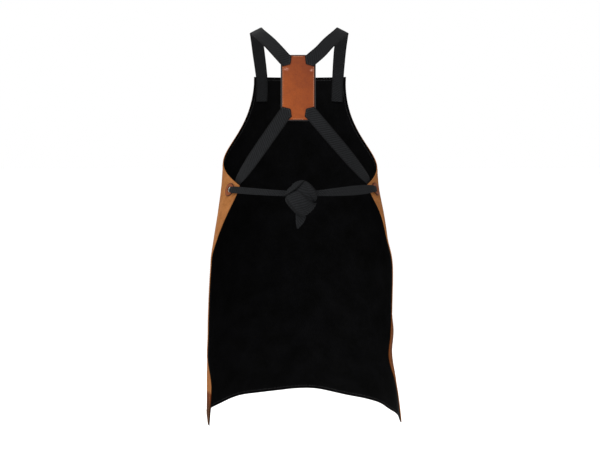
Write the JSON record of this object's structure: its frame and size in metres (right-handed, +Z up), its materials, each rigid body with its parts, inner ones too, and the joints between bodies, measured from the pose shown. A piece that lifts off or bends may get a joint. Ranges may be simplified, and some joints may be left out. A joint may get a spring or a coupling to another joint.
{
  "type": "suede work apron",
  "caption": "Cross-back suede work apron with a black lining, webbing straps on a leather yoke patch, eyelets in the side tabs and a tied waist knot.",
  "frame": {"origin": "midway between the two shoulder straps, under their highest points, where they hang on the shoulders", "axes": "+Z up, +Y the way the bib faces, -Y the side with the yoke and the knot, +X to the wearer's right"},
  "size_m": [0.4664, 0.302, 0.9367],
  "materials": {
    "suede": "napped tan suede",
    "lining": "matte black twill",
    "leather": "smooth rust-brown",
    "backing": "matte black",
    "webbing": "ribbed black webbing",
    "washer_leather": "dark brown",
    "nickel": "bright nickel plate"
  },
  "bodies": {
    "root": {"suede_panel": "suede", "lining": "lining", "yoke_patch": "leather", "yoke_backing": "backing", "shoulder_strap_left": "webbing", "shoulder_strap_right": "webbing", "waist_strap_left": "webbing", "waist_strap_right": "webbing", "waist_knot": "webbing", "washer_left": "washer_leather", "washer_right": "washer_leather", "eyelet_left": "nickel", "eyelet_right": "nickel"}
  },
  "joints": []
}
